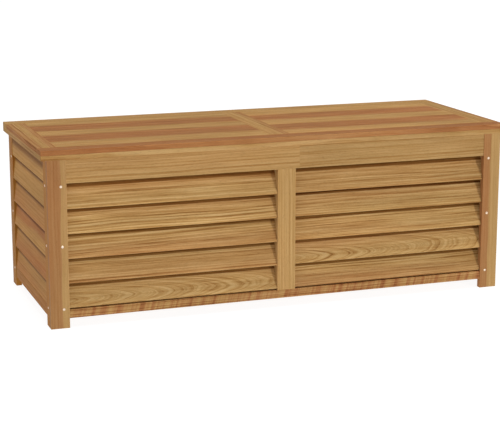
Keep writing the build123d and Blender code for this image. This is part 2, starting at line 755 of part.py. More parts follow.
def lid_brackets():
    """Angle brackets under the lid that carry the struts' upper studs."""
    tab_low = LID_STUD.Z - TAB_BELOW
    with BuildPart() as brackets:
        for sign in SIDES.values():
            x_tab = sorted((sign * LID_TAB_X, sign * (LID_TAB_X + BRACKET_T)))
            x_foot = sorted((sign * LID_TAB_X, sign * (LID_TAB_X + FOOT_W)))
            y_foot = (LID_STUD.Y - FOOT_LEN / 2, LID_STUD.Y + FOOT_LEN / 2)
            y_tab = (LID_STUD.Y - TAB_W / 2, LID_STUD.Y + TAB_W / 2)
            span((x_foot[0], y_foot[0], LID_UNDER - BRACKET_T), (x_foot[1], y_foot[1], LID_UNDER))
            span((x_tab[0], y_tab[0], tab_low), (x_tab[1], y_tab[1], LID_UNDER))
            stud(sign, LID_STUD, LID_TAB_X)
            for plane in lid_bracket_screw_planes(sign):
                with Locations(plane):
                    Hole(radius=BRACKET_SCREW_R + PLATE_CLEAR, depth=BRACKET_T)
    save(brackets, "strut_lid_brackets")


def box_bracket_screw_planes(sign):
    """Planes on the box bracket's inner face, one at each of its screws."""
    x = sign * (BOX_PLATE_X - BRACKET_T)
    return [
        Plane((x, BOX_STUD.Y, BOX_STUD.Z + dz), z_dir=(-sign, 0, 0))
        for dz in (-BOX_PLATE_SCREW_PITCH / 2, BOX_PLATE_SCREW_PITCH / 2)
    ]


def box_brackets():
    """Plates on the side battens that carry the struts' lower studs."""
    with BuildPart() as brackets:
        for sign in SIDES.values():
            x_low, x_high = sorted((sign * BOX_PLATE_X, sign * (BOX_PLATE_X - BRACKET_T)))
            half_w, half_h = BOX_PLATE_W / 2, BOX_PLATE_H / 2
            span(
                (x_low, BOX_STUD.Y - half_w, BOX_STUD.Z - half_h),
                (x_high, BOX_STUD.Y + half_w, BOX_STUD.Z + half_h),
            )
            stud(sign, BOX_STUD, BOX_PLATE_X - BRACKET_T)
            for plane in box_bracket_screw_planes(sign):
                with Locations(plane):
                    Hole(radius=BRACKET_SCREW_R + PLATE_CLEAR, depth=BRACKET_T)
    save(brackets, "strut_box_brackets")


def hardware_screws(name, up, bracket_planes):
    """All the hinge and strut screws of one body."""
    with BuildPart() as screws:
        for centre in HINGE_CENTRES:
            for plane in leaf_screw_planes(centre, up):
                add(countersunk_screw(plane))
        for sign in SIDES.values():
            for plane in bracket_planes(sign):
                add(pan_screw(plane))
    save(screws, name)


post_boards()
corner_blocks()
post_screws()
rails()
stiles()
side_battens()
louvres()
floor()
lid_top()
lid_sub_frame()
hinge_leaves("hinge_box_leaves", -1, (0, 2, 4))
hinge_leaves("hinge_lid_leaves", 1, (1, 3))
hinge_pins()
lid_brackets()
box_brackets()
for side_name, side_sign in SIDES.items():
    strut_tube(side_name, side_sign)
    strut_rod(side_name, side_sign)
hardware_screws("box_hardware_screws", -1, box_bracket_screw_planes)
hardware_screws("lid_hardware_screws", 1, lid_bracket_screw_planes)

closed_length = hypot(STRUT_LINE.Y, STRUT_LINE.Z)
print(f"strut, closed, stud to stud: {closed_length:.1f} mm")
print(f"lid pin axis: y {PIVOT.Y:.2f}  z {PIVOT.Z:.2f}")
print(f"lid stud: y {LID_STUD.Y:.3f}  z {LID_STUD.Z:.3f}")
print(f"box stud: y {BOX_STUD.Y:.3f}  z {BOX_STUD.Z:.3f}")
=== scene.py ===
"""Looks of the louvred wooden deck storage box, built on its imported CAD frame.

Metres, +Z up, front towards -Y.  Every wooden board keeps its CAD mesh and gets
eased edges and a solid-wood material whose growth rings run through the board.
"""
from math import cos, pi, radians, sin

import bmesh
import bpy
from mathutils import Matrix, Vector


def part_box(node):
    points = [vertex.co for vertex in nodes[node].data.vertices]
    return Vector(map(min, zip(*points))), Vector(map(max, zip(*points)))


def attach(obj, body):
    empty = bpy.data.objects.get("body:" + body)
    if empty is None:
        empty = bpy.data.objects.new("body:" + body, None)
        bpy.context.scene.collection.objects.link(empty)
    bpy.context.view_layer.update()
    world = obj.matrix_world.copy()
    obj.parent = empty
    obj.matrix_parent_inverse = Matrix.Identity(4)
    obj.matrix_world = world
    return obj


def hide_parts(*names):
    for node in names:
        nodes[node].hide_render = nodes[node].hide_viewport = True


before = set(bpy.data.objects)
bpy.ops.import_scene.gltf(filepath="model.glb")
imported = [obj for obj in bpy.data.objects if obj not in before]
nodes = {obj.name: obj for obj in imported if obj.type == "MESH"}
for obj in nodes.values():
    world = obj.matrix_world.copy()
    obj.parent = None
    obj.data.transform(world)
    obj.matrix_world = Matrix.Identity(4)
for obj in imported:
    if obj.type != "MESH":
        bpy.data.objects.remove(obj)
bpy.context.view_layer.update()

X, Y, Z = Vector((1, 0, 0)), Vector((0, 1, 0)), Vector((0, 0, 1))
MM = 0.001

# ------------------------------------------------------------- driving values
LOUVRE_TILT = radians(23.5)
LOUVRE_PITCH = 76.44 * MM
LOUVRE_W = 84 * MM
LOUVRE_T = 12 * MM
LOUVRES = 5
LID_SLATS = 5
LID_SLAT_GAP = 1.5 * MM
FLOOR_SLATS = 5
FLOOR_SLAT_GAP = 8 * MM

EASED_EDGE = 1.3 * MM        # rounding of the boards' edges
METAL_EDGE = 0.25 * MM
EDGE_SEGMENTS = 2
FACE_WEIGHT = 100            # how much the large faces lead the shading of the edges
WELD_DISTANCE = 0.01 * MM
SHARP_ANGLE = radians(35)
FLAT_ANGLE = radians(0.5)

WHITE = (1.0, 1.0, 1.0)

SKY = 0.23
HORIZON = (0.05, 0.16)       # the sky fades from white to SKY between these heights
FLOOR_SIZE = 600.0
FLOOR_GLOW = 0.92
FLOOR_GREY = 0.15
# name, strength, softness in degrees, degrees right of the front, degrees up
LAMPS = (
    ("key", 0.99, 7.0, 26.0, 18.0),
    ("top", 1.78, 14.0, 0.0, 88.0),
    ("left", 0.27, 14.0, -60.0, 38.0),
)

CAMERA_AT = (-1.6548, -4.6305, 1.3236)
CAMERA_YAW = radians(19.557)     # to the right of straight back
CAMERA_PITCH = radians(12.497)   # downwards
SENSOR_WIDTH = 36.0
LENS = 109.35

SCREW_ROWS = (0.435, 0.252, 0.059)
FACE_SCREW_IN = 41 * MM
SIDE_SCREW_IN = 35 * MM

DOME_SIDES = 36
# radius, height above the post's face, and outline of each turned step of a head
DOME_PROFILE = (
    (3.6 * MM, -1.4 * MM, "circle"),
    (4.0 * MM, -1.2 * MM, "circle"),
    (4.0 * MM, 0.0 * MM, "circle"),
    (3.8 * MM, 0.28 * MM, "circle"),
    (3.35 * MM, 0.52 * MM, "circle"),
    (2.7 * MM, 0.70 * MM, "circle"),
    (2.1 * MM, 0.78 * MM, "circle"),
    (1.85 * MM, 0.76 * MM, "hexagon"),
    (1.70 * MM, 0.60 * MM, "hexagon"),
    (1.70 * MM, -0.60 * MM, "hexagon"),
    (1.20 * MM, -0.80 * MM, "circle"),
)

# Direction along each wall; the outward normal is this crossed with up.
WALL_ALONG = {"front": X, "back": -X, "left": -Y, "right": Y}


# ------------------------------------------------------------------ node trees
class Shader:
    """A material's node tree, with a short call for each kind of node."""

    def __init__(self, name):
        self.material = bpy.data.materials.new(name)
        self.material.use_nodes = True
        self.tree = self.material.node_tree
        self.tree.nodes.clear()
        self.surface = self.make("ShaderNodeBsdfPrincipled")
        output = self.make("ShaderNodeOutputMaterial")
        self.tree.links.new(self.surface.outputs["BSDF"], output.inputs["Surface"])

    def make(self, kind, **settings):
        node = self.tree.nodes.new(kind)
        for key, value in settings.items():
            setattr(node, key, value)
        return node

    def feed(self, socket, value):
        """Link an output to a socket, or set the socket's own value."""
        if isinstance(value, bpy.types.NodeSocket):
            self.tree.links.new(value, socket)
        else:
            socket.default_value = value

    def math(self, operation, *values, clamp=False):
        node = self.make("ShaderNodeMath", operation=operation, use_clamp=clamp)
        for socket, value in zip(node.inputs, values):
            self.feed(socket, value)
        return node.outputs[0]

    def vector(self, operation, *values):
        node = self.make("ShaderNodeVectorMath", operation=operation)
        for socket, value in zip(node.inputs, values):
            self.feed(socket, value)
        scalar = operation in ("DOT_PRODUCT", "LENGTH")
        return node.outputs["Value" if scalar else "Vector"]

    def scaled(self, vector, factor):
        """Multiply a vector or a colour by one number."""
        node = self.make("ShaderNodeVectorMath", operation="SCALE")
        self.feed(node.inputs[0], vector)
        self.feed(node.inputs["Scale"], factor)
        return node.outputs["Vector"]

    def split(self, vector):
        node = self.make("ShaderNodeSeparateXYZ")
        self.feed(node.inputs[0], vector)
        return node.outputs

    def join(self, x, y, z):
        node = self.make("ShaderNodeCombineXYZ")
        for socket, value in zip(node.inputs, (x, y, z)):
            self.feed(socket, value)
        return node.outputs[0]

    def noise(self, vector, scale=1.0, detail=2.0, roughness=0.5):
        node = self.make("ShaderNodeTexNoise")
        self.feed(node.inputs["Vector"], vector)
        self.feed(node.inputs["Scale"], scale)
        self.feed(node.inputs["Detail"], detail)
        self.feed(node.inputs["Roughness"], roughness)
        return node.outputs["Fac"]

    def line_noise(self, value, detail=2.0, roughness=0.5):
        """Noise along one number."""
        node = self.make("ShaderNodeTexNoise", noise_dimensions="1D")
        self.feed(node.inputs["W"], value)
        self.feed(node.inputs["Scale"], 1.0)
        self.feed(node.inputs["Detail"], detail)
        self.feed(node.inputs["Roughness"], roughness)
        return node.outputs["Fac"]

    def dice(self, value):
        """A random number from 0 to 1 for each whole value."""
        node = self.make("ShaderNodeTexWhiteNoise", noise_dimensions="1D")
        self.feed(node.inputs["W"], value)
        return node.outputs["Value"]

    def rings(self, radius, per_metre, early):
        """Late wood lines: each ring darkens after its early share, then stops short."""
        place = self.math("MULTIPLY", radius, per_metre)
        share = self.math("FRACT", place)
        rise, fall = self.ramp(share, early, RING_PEAK), self.ramp(share, 1.0, RING_PEAK)
        strength = self.dice(self.math("FLOOR", place))
        return self.math("MULTIPLY", self.math("MULTIPLY", rise, fall), strength)

    def ramp(self, value, low, high, start=0.0, end=1.0):
        """Smooth step from start to end as value goes from low to high."""
        node = self.make("ShaderNodeMapRange", interpolation_type="SMOOTHSTEP")
        for name, number in (
            ("Value", value),
            ("From Min", low),
            ("From Max", high),
            ("To Min", start),
            ("To Max", end),
        ):
            self.feed(node.inputs[name], number)
        return node.outputs["Result"]

    def colours(self, value, *stops):
        """Colour ramp through (position, colour) stops."""
        node = self.make("ShaderNodeValToRGB")
        elements = node.color_ramp.elements
        while len(elements) < len(stops):
            elements.new(1.0)
        for element, (position, colour) in zip(elements, stops):
            element.position = position
            element.color = (*colour, 1.0)
        self.feed(node.inputs["Fac"], value)
        return node.outputs["Color"]

    def mix(self, factor, first, second):
        node = self.make("ShaderNodeMix", data_type="RGBA")
        self.feed(node.inputs["Factor"], factor)
        for name, value in (("A", first), ("B", second)):
            socket = [s for s in node.inputs if s.name == name and s.type == "RGBA"][0]
            if isinstance(value, tuple):
                value = (*value, 1.0)
            self.feed(socket, value)
        return [s for s in node.outputs if s.type == "RGBA"][0]

    def bump(self, height, distance):
        node = self.make("ShaderNodeBump")
        node.inputs["Distance"].default_value = distance
        self.feed(node.inputs["Height"], height)
        self.tree.links.new(node.outputs["Normal"], self.surface.inputs["Normal"])

    def set(self, **sockets):
        for name, value in sockets.items():
            title = name.replace("_", " ").title().replace("Ior", "IOR")
            self.feed(self.surface.inputs[title], value)


# ------------------------------------------------------------------------ wood
# Growth ring colours, early wood to late wood, of sapwood and of heartwood.
TAN = (
    (0.00, (0.560, 0.345, 0.140)),
    (0.40, (0.470, 0.268, 0.093)),
    (0.75, (0.380, 0.192, 0.058)),
    (1.00, (0.250, 0.112, 0.030)),
)
RED = (
    (0.00, (0.440, 0.208, 0.080)),
    (0.40, (0.375, 0.157, 0.055)),
    (0.75, (0.300, 0.112, 0.037)),
    (1.00, (0.195, 0.066, 0.021)),
)


class Board:
    """Where a board lies: its middle, its grain, face and normal directions.

    A group of boards has the step from one to the next, and the direction in which
    they are told apart.
    """

    def __init__(self, middle, grain, across, size, step=None, counted=None):
        self.middle = Vector(middle)
        self.grain = Vector(grain)
        self.across = Vector(across)
        self.normal = self.grain.cross(self.across)
        self.size = size
        self.step = step
        self.counted = counted

    def turn(self):
        """Rotation from the grain's own axes to the object's."""
        columns = Matrix((self.grain, self.across, self.normal)).transposed()
        return columns.to_euler()


def middle_and_size(name, grain, across):
    """A node's middle, and its size along its grain, across it and through it."""
    low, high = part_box(name)
    size = high - low
    normal = Vector(grain).cross(Vector(across))
    along = [abs(size.dot(axis)) for axis in (Vector(grain), Vector(across), normal)]
    return (low + high) / 2, along


def flat_board(name, grain, across):
    middle, size = middle_and_size(name, grain, across)
    return Board(middle, grain, across, size)


# How a board is cut from its tree.  pith_v and pith_w give the spread and the start of
# the pith line's place across the board and through it; run_v and run_w are its drift
# per metre along the grain; wander is how far it strays, and tightness packs the rings.
FIGURES = {
    "straight": {
        "pith_v": (0.10, 0.16), "pith_w": (0.08, -0.10), "run_v": 0.010, "run_w": 0.012,
        "wander": 0.020, "tightness": 1.0,
    },
    "cathedral": {
        "pith_v": (0.02, -0.032), "pith_w": (0.01, -0.050), "run_v": 0.015, "run_w": -0.085,
        "wander": 0.008, "tightness": 3.0,
    },
}

# rings per metre of radius: soft broad ones, late wood lines and hair lines
BROAD_RINGS = 150.0
LATE_RINGS = 118.0
HAIR_RINGS = 430.0
RING_SHIFT = 3.7             # moves each board's broad rings to a place of their own
LATE_START = 0.60            # where in its ring the late wood begins
HAIR_START = 0.30
RING_PEAK = 0.93             # where in its ring the late wood is darkest
BROAD_DEPTH = 0.72
LATE_DEPTH = 0.50
HAIR_DEPTH = 0.16
FLECK_DEPTH = 1.3
FIBRE_DEPTH = 0.55
BLOTCH_DEPTH = 0.9
GROUP_DEPTH = 0.5            # how much the tone differs from board to board of a group
CURL_DEPTH = 0.30

# noise per metre along the grain and across it
WANDER_SCALE = 1.6
RIPPLE_SCALE = (4.0, 22.0)
WAVER_SCALE = (14.0, 90.0)
FADE_SCALE = (3.2, 34.0)
FLECK_SCALE = (5.0, 150.0)
FIBRE_SCALE = (22.0, 620.0)
PORE_SCALE = (130.0, 2100.0)
BLOTCH_SCALE = (1.3, 9.0)
CLOUD_SCALE = (2.4, 14.0)
CURL_SCALE = 40.0
CURL_SLOPE = -12.0

RIPPLE_HEIGHT = 5 * MM       # how far ripples move the rings
WAVER_HEIGHT = 1.6 * MM
STREAK_RIPPLE = 24 * MM      # how far ripples move the edge of a heartwood streak
ROW_RIPPLE = 40 * MM
PAINTED_SHADE_RIPPLE = 1.5 * MM
WEAR_RIPPLE = 1.6 * MM
BRIGHTNESS_SPAN = (-35 * MM, 25 * MM)
HALF_SHIFT_SPAN = (-30 * MM, 34 * MM)
ROW_SPAN = (5 * MM, 35 * MM)
WEAR_SPAN = (3.0 * MM, 0.8 * MM)
EDGE_ON = (0.6, 0.9)         # how squarely a face must look along an axis

BOARD_SPREAD = 0.10          # brightness from board to board
PORE_SHADE = -0.28
END_GRAIN_SHADE = -0.10
WEAR_SHADE = 0.14
WOOD_ROUGHNESS = 0.56
LATE_ROUGHNESS = 0.12
END_GRAIN_ROUGHNESS = 0.18
FIBRE_ROUGHNESS = 0.16
BUMP_HEIGHT = 0.25 * MM
DICE = 4
DICE_STEP = 101.3
JOINT_STEP = 17.0            # the second length of a jointed board is from another tree


def board_place(s, board, point):
    """A board's number in its group, and the point along, across and through it."""
    number = 0.0
    local = s.vector("SUBTRACT", point, tuple(board.middle))
    if board.step is not None:
        counter = board.counted / board.step.dot(board.counted)
        number = s.math("ROUND", s.vector("DOT_PRODUCT", local, tuple(counter)))
        local = s.vector("SUBTRACT", local, s.scaled(tuple(board.step), number))
    turn = s.make("ShaderNodeMapping", vector_type="TEXTURE")
    s.feed(turn.inputs["Vector"], local)
    turn.inputs["Rotation"].default_value = board.turn()
    return number, s.split(turn.outputs["Vector"])


def pith_distance(s, cut, dice, key, u, v, w):
    """Distance from a pith line that wanders and runs out of the board."""
    wander = s.noise(s.join(s.math("MULTIPLY", u, WANDER_SCALE), key, 0.0), detail=1.0)
    pith_v = s.math("MULTIPLY_ADD", dice[0], *cut["pith_v"])
    pith_w = s.math("MULTIPLY_ADD", dice[1], *cut["pith_w"])
    pith_v = s.math("ADD", pith_v, s.math("MULTIPLY", u, cut["run_v"]))
    pith_v = s.math("MULTIPLY_ADD", wander, cut["wander"], pith_v)
    pith_w = s.math("ADD", pith_w, s.math("MULTIPLY", u, cut["run_w"]))
    off_v = s.math("SUBTRACT", v, pith_v)
    off_w = s.math("SUBTRACT", w, pith_w)
    return s.vector("LENGTH", s.join(off_v, off_w, 0.0))


def centred(s, value):
    """Noise moved from 0..1 to about nought."""
    return s.math("SUBTRACT", value, 0.5)


def edge_wear(s, board, fibre, place):
    """1 at the board's edges and 0 on its faces."""
    gaps = [
        s.math("SUBTRACT", size / 2, s.math("ABSOLUTE", axis))
        for axis, size in zip(place, board.size)
    ]
    pairs = [s.math("MAXIMUM", gaps[i], gaps[(i + 1) % 3]) for i in range(3)]
    to_edge = s.math("MINIMUM", s.math("MINIMUM", pairs[0], pairs[1]), pairs[2])
    to_edge = s.math("MULTIPLY_ADD", fibre, WEAR_RIPPLE, to_edge)
    return s.ramp(to_edge, *WEAR_SPAN)


def wood(name, board, tone=0.0, seed=0.0, figure="straight", streaks=(), streak_axis=None,
         streak_depth=1.0, joint=None, curl=0.0, lines=1.0, mottle=1.0, cloudy=0.07,
         shelter=None, bleach=0.0, row_tones=(), brightness=(1.0, 1.0), tint=WHITE,
         edge_tint=None):
    """Solid wood: rings about a pith line, fibres, pores, end grain and worn edges.

    tone is 0 for tan sapwood and 1 for reddish heartwood.  streaks are stretches of
    heartwood along streak_axis, as their two ends and the softness of their edges.
    joint is the direction and place where two lengths meet.  curl is the strength of
    the bands across the grain, lines that of the rings, mottle that of the patches of
    heartwood, and cloudy that of the paler and darker clouds.
    shelter is where, across the board, a painted shade under the next board or
    an overhang begins and is full, and its colour.  bleach pales the lower
    half against the upper, partly as the board's own tones and partly as painted light.
    row_tones holds the tones of the upper and lower half of each board of a group.
    brightness is given at the board's lower and upper edge.  edge_tint is a
    painted shade on its long edges, the faces that look across it.
    """
    s = Shader(name)
    place = s.make("ShaderNodeTexCoord")
    point = place.outputs["Object"]
    cut = FIGURES[figure]

    # each board of a group gets its own number and its own piece of the tree
    number, (u, v, w) = board_place(s, board, point)
    key = s.math("ADD", number, seed)
    if joint is not None:
        direction, meeting = joint
        reach = s.vector("DOT_PRODUCT", point, tuple(direction))
        beyond = s.math("GREATER_THAN", reach, meeting)
        key = s.math("ADD", key, s.math("MULTIPLY", beyond, JOINT_STEP))
    dice = [s.dice(s.math("ADD", key, DICE_STEP * i)) for i in range(1, DICE + 1)]

    def grained(scale, third=key):
        """The point as noise drawn out along the grain takes it."""
        along, across = scale
        return s.join(s.math("MULTIPLY", u, along), s.math("MULTIPLY", v, across), third)

    radius = pith_distance(s, cut, dice, key, u, v, w)
    ripple = s.noise(grained(RIPPLE_SCALE), detail=2.0)
    waver = s.noise(grained(WAVER_SCALE), detail=1.0)
    radius = s.math("MULTIPLY_ADD", ripple, RIPPLE_HEIGHT, radius)
    radius = s.math("MULTIPLY_ADD", waver, WAVER_HEIGHT, radius)

    tightness = cut["tightness"]
    shift = s.math("MULTIPLY", key, RING_SHIFT)
    ring_at = s.math("MULTIPLY_ADD", radius, BROAD_RINGS * tightness, shift)
    broad = s.line_noise(ring_at, detail=3.0, roughness=0.62)
    late = s.rings(radius, LATE_RINGS * tightness, LATE_START)
    hair = s.rings(radius, HAIR_RINGS, HAIR_START)

    # rings fade in and out along the board
    fade = s.noise(grained(FADE_SCALE), detail=2.0)
    dark = s.ramp(broad, 0.26, 0.78, 0.05, 0.05 + BROAD_DEPTH * lines)
    late_share = s.math("MULTIPLY", s.ramp(fade, 0.30, 0.62, 0.25, 1.0), LATE_DEPTH * lines)
    dark = s.math("MULTIPLY_ADD", late, late_share, dark)
    dark = s.math("MULTIPLY_ADD", hair, HAIR_DEPTH, dark)
    flecks = s.noise(grained(FLECK_SCALE), detail=2.0)
    dark = s.math("MULTIPLY_ADD", centred(s, flecks), FLECK_DEPTH * lines, dark)

    # fine fibres and pores, drawn out along the grain
    fine = grained(FIBRE_SCALE, s.math("MULTIPLY", w, FIBRE_SCALE[1]))
    fibre = s.noise(fine, detail=3.0, roughness=0.6)
    specks = grained(PORE_SCALE, s.math("MULTIPLY", w, PORE_SCALE[1]))
    pores = s.ramp(s.noise(specks, detail=1.0), 0.62, 0.70)
    dark = s.math("MULTIPLY_ADD", centred(s, fibre), FIBRE_DEPTH, dark, clamp=True)

    # heartwood, in patches, by rows, towards one edge, in streaks or in bands
    blotch = s.noise(grained(BLOTCH_SCALE), detail=2.0)
    heart = s.math("MULTIPLY_ADD", centred(s, blotch), BLOTCH_DEPTH * mottle, tone)
    if board.step is not None and not streaks:
        heart = s.math("MULTIPLY_ADD", centred(s, dice[2]), GROUP_DEPTH, heart)
    for row, (upper, lower) in enumerate(row_tones):
        chosen = s.math("COMPARE", number, float(row), 0.5)
        height = s.math("MULTIPLY_ADD", ripple, ROW_RIPPLE, v)
        half = s.ramp(height, *ROW_SPAN, lower, upper)
        heart = s.math("MULTIPLY_ADD", chosen, half, heart)
    # one half paled against the other: partly the board's own tones, partly painted light
    if bleach:
        paler = s.ramp(v, *HALF_SHIFT_SPAN, -0.5 * bleach, 0.5 * bleach)
        heart = s.math("ADD", heart, paler)
    if streaks:
        reach = s.vector("DOT_PRODUCT", point, tuple(streak_axis))
        reach = s.math("MULTIPLY_ADD", centred(s, ripple), STREAK_RIPPLE, reach)
        for low, high, soft in streaks:
            inside = s.math(
                "MULTIPLY",
                s.ramp(reach, low - soft, low + soft),
                s.ramp(reach, high + soft, high - soft),
            )
            heart = s.math("MULTIPLY_ADD", inside, streak_depth, heart)
    if curl:
        slope = s.math("MULTIPLY", v, CURL_SLOPE)
        bands_at = s.math("MULTIPLY_ADD", u, CURL_SCALE, slope)
        bands = s.line_noise(bands_at, detail=3.0, roughness=0.7)
        heart = s.math("MULTIPLY_ADD", s.ramp(bands, 0.35, 0.65), curl, heart)
        depth = curl * CURL_DEPTH
        dark = s.math("MULTIPLY_ADD", s.ramp(bands, 0.50, 0.75), depth, dark, clamp=True)
    heart = s.math("MAXIMUM", s.math("MINIMUM", heart, 1.0), 0.0)

    colour = s.mix(heart, s.colours(dark, *TAN), s.colours(dark, *RED))
    cloud = s.noise(grained(CLOUD_SCALE), detail=3.0)
    level = s.ramp(cloud, 0.25, 0.75, 1.0 - cloudy, 1.0 + cloudy)
    spread = s.math("MULTIPLY_ADD", dice[3], BOARD_SPREAD, 1.0 - BOARD_SPREAD / 2)
    level = s.math("MULTIPLY", level, spread)
    level = s.math("MULTIPLY", level, s.ramp(v, *BRIGHTNESS_SPAN, *brightness))
    level = s.math("MULTIPLY", level, s.math("MULTIPLY_ADD", pores, PORE_SHADE, 1.0))

    # the whole board's tint, on sideways boards a painted shade, and the painted shade of its long
    # edges
    colour = s.vector("MULTIPLY", colour, tint)
    if edge_tint is not None:
        sideways = s.vector("DOT_PRODUCT", place.outputs["Normal"], tuple(board.across))
        edge_on = s.ramp(s.math("ABSOLUTE", sideways), *EDGE_ON)
        colour = s.vector("MULTIPLY", colour, s.mix(edge_on, WHITE, edge_tint))

    # painted shade: darker and redder where the next board or an overhang shades this one
    if shelter is not None:
        begins, full, sheltered = shelter
        painted_shade_mask = s.ramp(s.math("MULTIPLY_ADD", fibre, PAINTED_SHADE_RIPPLE, v), begins, full)
        colour = s.vector("MULTIPLY", colour, s.mix(painted_shade_mask, WHITE, sheltered))

    # end grain is darker; eased edges are rubbed a little paler
    facing = s.vector("DOT_PRODUCT", place.outputs["Normal"], tuple(board.grain))
    end_grain = s.ramp(s.math("ABSOLUTE", facing), *EDGE_ON)
    level = s.math("MULTIPLY", level, s.math("MULTIPLY_ADD", end_grain, END_GRAIN_SHADE, 1.0))
    worn = edge_wear(s, board, fibre, (u, v, w))
    level = s.math("MULTIPLY", level, s.math("MULTIPLY_ADD", worn, WEAR_SHADE, 1.0))
    s.set(base_color=s.scaled(colour, level))

    rough = s.math("MULTIPLY_ADD", dark, LATE_ROUGHNESS, WOOD_ROUGHNESS)
    rough = s.math("MULTIPLY_ADD", end_grain, END_GRAIN_ROUGHNESS, rough)
    rough = s.math("MULTIPLY_ADD", centred(s, fibre), FIBRE_ROUGHNESS, rough)
    s.set(roughness=rough, ior=1.44, specular_ior_level=0.06)
    height = s.math("MULTIPLY_ADD", pores, -0.9, fibre)
    height = s.math("MULTIPLY_ADD", late, 0.5, height)
    s.bump(height, BUMP_HEIGHT)
    return s.material


def soften(node, width, flatten=False):
    """Close the mesh's face borders and ease its sharp edges.

    flatten joins the slivers round the screws' counterbores into whole faces.
    """
    weld = node.modifiers.new("closed", "WELD")
    weld.merge_threshold = WELD_DISTANCE
    if flatten:
        flat = node.modifiers.new("flat faces", "DECIMATE")
        flat.decimate_type = "DISSOLVE"
        flat.angle_limit = FLAT_ANGLE
    bevel = node.modifiers.new("eased", "BEVEL")
    bevel.width = width
    bevel.segments = EDGE_SEGMENTS
    bevel.limit_method = "ANGLE"
    bevel.angle_limit = SHARP_ANGLE
    bevel.use_clamp_overlap = True
    bevel.miter_outer = "MITER_ARC"
    normals = node.modifiers.new("shading", "WEIGHTED_NORMAL")
    normals.weight = FACE_WEIGHT
    normals.keep_sharp = False


def finish_node(name, material, edge, flatten=False):
    """Give a CAD node its one material and ease its edges."""
    node = nodes[name]
    node.data.materials.clear()
    node.data.materials.append(material)
    soften(node, edge, flatten=flatten)


# --------------------------------------------------------------- boards by name
def tilted(wall):
    """Directions of a louvre: along the wall, and up its sloping face."""
    along = WALL_ALONG[wall]
    inwards = Z.cross(along)
    return along, inwards * sin(LOUVRE_TILT) + Z * cos(LOUVRE_TILT)


def louvre_group(name, wall):
    """The tilted louvres of a node, counted from the top one down."""
    along, up_face = tilted(wall)
    low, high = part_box(name)
    top_middle = (low + high) / 2 + Z * LOUVRE_PITCH * (LOUVRES - 1) / 2
    size = [abs((high - low).dot(along)), LOUVRE_W, LOUVRE_T]
    normal = along.cross(up_face)
    return Board(top_middle, along, up_face, size, step=-Z * LOUVRE_PITCH, counted=normal)


def lapped_group(name, wall):
    """The lapped boards of a side wall, counted from the top one down."""
    low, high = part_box(name)
    middle = (low + high) / 2
    top_middle = Vector((middle.x, middle.y, high.z - LOUVRE_PITCH / 2))
    size = [(high - low).y, LOUVRE_PITCH, (high - low).x]
    along = WALL_ALONG[wall]
    return Board(top_middle, along, Z, size, step=-Z * LOUVRE_PITCH, counted=Z)


def front_louvre(name):
    along, up_face = tilted("front")
    low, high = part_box(name)
    size = [(high - low).x, LOUVRE_W, LOUVRE_T]
    return Board((low + high) / 2, along, up_face, size)


def slat_group(name, count, gap):
    """Slats side by side along Y, counted from the front."""
    low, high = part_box(name)
    width = ((high - low).y - (count - 1) * gap) / count
    first = Vector(((low.x + high.x) / 2, low.y + width / 2, (low.z + high.z) / 2))
    size = [(high - low).x, width, (high - low).z]
    return Board(first, X, Y, size, step=Y * (width + gap), counted=Y)


# where a painted shade under the next board begins and is full, up a board's face from
# # its middle, and what it does to the colour
# painted shade on the upper part of each louvre, under the louvre above
LOUVRE_PAINTED_SHADE = (22 * MM, 25 * MM, (0.38, 0.28, 0.17))
# painted shade under the step of each lapped side board
SIDE_LAP_PAINTED_SHADE = (17 * MM, 31 * MM, (0.25, 0.14, 0.06))
# painted shadow of the lid's overhang on the side top rails
OVERHANG_PAINTED_SHADOW = (-12 * MM, 16 * MM, (0.42, 0.33, 0.21))

# tones of the side boards, top to bottom, of each one's upper and lower half
SIDE_TONES = ((0.20, 0.30), (0.25, 0.25), (1.00, 0.05), (0.50, 0.85), (0.15, 0.50))

# boards that face sideways, and the lid's sideways edges, are given a painted shade: darker and
# warmer than those of the front
SIDE_SHADE_TINT = (1.00, 0.87, 0.62)
SIDE_SILL_SHADE_TINT = (0.80, 0.58, 0.34)
POST_SIDE_SHADE_TINT = (0.86, 0.67, 0.34)
LID_EDGE_SHADE_TINT = (0.86, 0.70, 0.50)

# brightness paints light onto the louvres, most at their upper edge, against the shade of the
# louvre above
LOUVRE_LOOKS = {"shelter": LOUVRE_PAINTED_SHADE, "brightness": (1.14, 1.25), "tint": (0.98, 1.03, 1.08)}
LONG_RAIL_LOOKS = {"lines": 0.7, "brightness": (0.92, 0.92)}
SIDE_RAIL_LOOKS = {
    "shelter": OVERHANG_PAINTED_SHADOW, "tint": SIDE_SHADE_TINT, "lines": 0.5, "mottle": 1.8,
}
LONG_SILL_LOOKS = {"curl": 0.9}
SIDE_SILL_LOOKS = {"lines": 0.5, "mottle": 2.0, "tint": SIDE_SILL_SHADE_TINT}

# the front top rail is of two lengths, which meet here
TOP_RAIL_SEAM = (X, 49 * MM)

# tones of the front louvres, top to bottom
LEFT_LOUVRE_TONES = (0.12, 0.10, 0.12, 0.17, 0.03)
RIGHT_LOUVRE_TONES = (0.16, 0.14, 0.06, 0.10, 0.10)
# how much paler each one's lower half is than its upper half: partly the boards' own tones, partly
# painted light that pales upper halves lying in the louvre above's shade
LEFT_LOUVRE_HALF_SHIFT = (0.30, 0.25, -0.45, -0.15, 0.10)
RIGHT_LOUVRE_HALF_SHIFT = (0.15, 0.15, -0.10, 0.30, -0.50)
# louvres cut near the middle of the tree, whose rings arch
ARCHED_LOUVRES = (("left", 5), ("right", 4))

# width of the heartwood on each face board of the posts, from its left edge
POST_HEART = {"left": 39 * MM, "right": 25 * MM}
POST_HEART_OVERRUN = 10 * MM
POST_HEART_EDGE = 3 * MM

